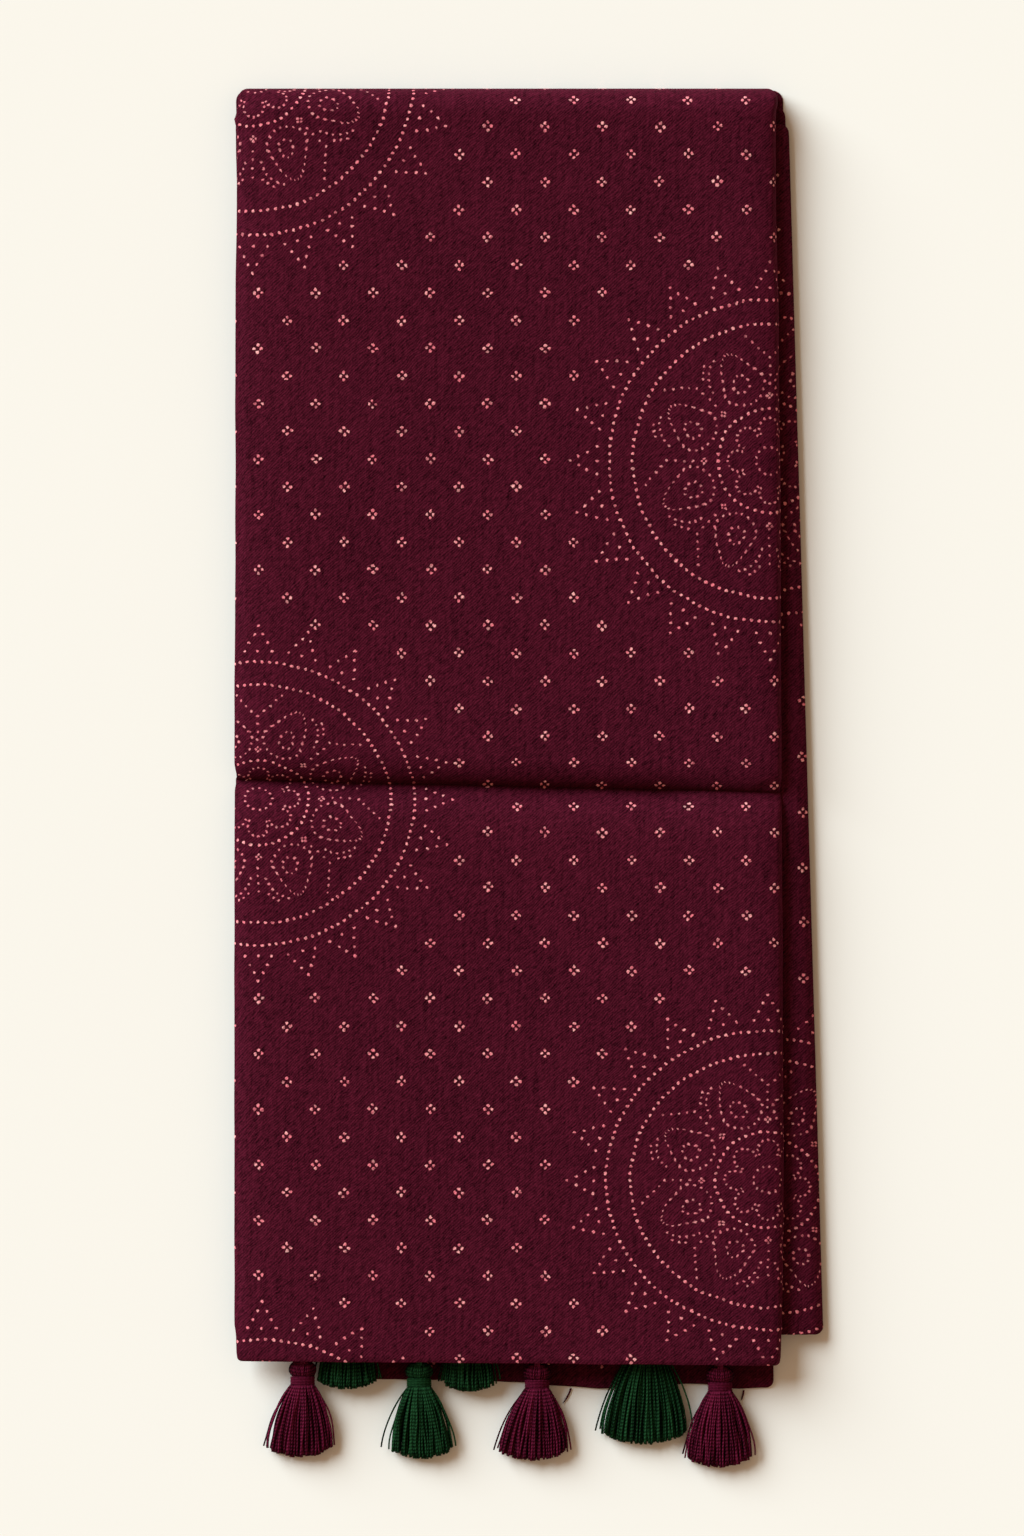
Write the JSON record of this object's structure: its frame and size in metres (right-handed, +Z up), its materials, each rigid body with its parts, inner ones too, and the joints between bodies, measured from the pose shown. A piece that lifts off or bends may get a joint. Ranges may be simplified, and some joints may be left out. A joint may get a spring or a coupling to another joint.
{
  "type": "folded saree with tasselled pallu",
  "caption": "Saree folded flat into a long pack, tie-dyed dot print on the top leaf, a pressed crease across it and yarn tassels along the pallu hem.",
  "frame": {"origin": "on the surface the pack lies on, under the middle of the whole pack, tassels included", "axes": "+Y along the pack from the tassels to the back fold, +X to the right seen from above with the tassels nearest, +Z up from the surface"},
  "size_m": [0.3167, 0.74, 0.0207],
  "materials": {
    "cloth": "deep maroon fine twill with a soft sheen and small pink tie-dyed dots",
    "yarn_maroon": "maroon plied cotton yarn",
    "yarn_green": "bottle green plied cotton yarn"
  },
  "bodies": {
    "root": {"top_panel": "cloth", "side_fold": "cloth", "under_fold": "cloth", "hidden_layers": "cloth", "tassel_1": "yarn_maroon", "tassel_2": "yarn_green", "tassel_3": "yarn_maroon", "tassel_4": "yarn_green", "tassel_5": "yarn_maroon", "tassel_6": "yarn_green", "tassel_7": "yarn_green"}
  },
  "joints": []
}
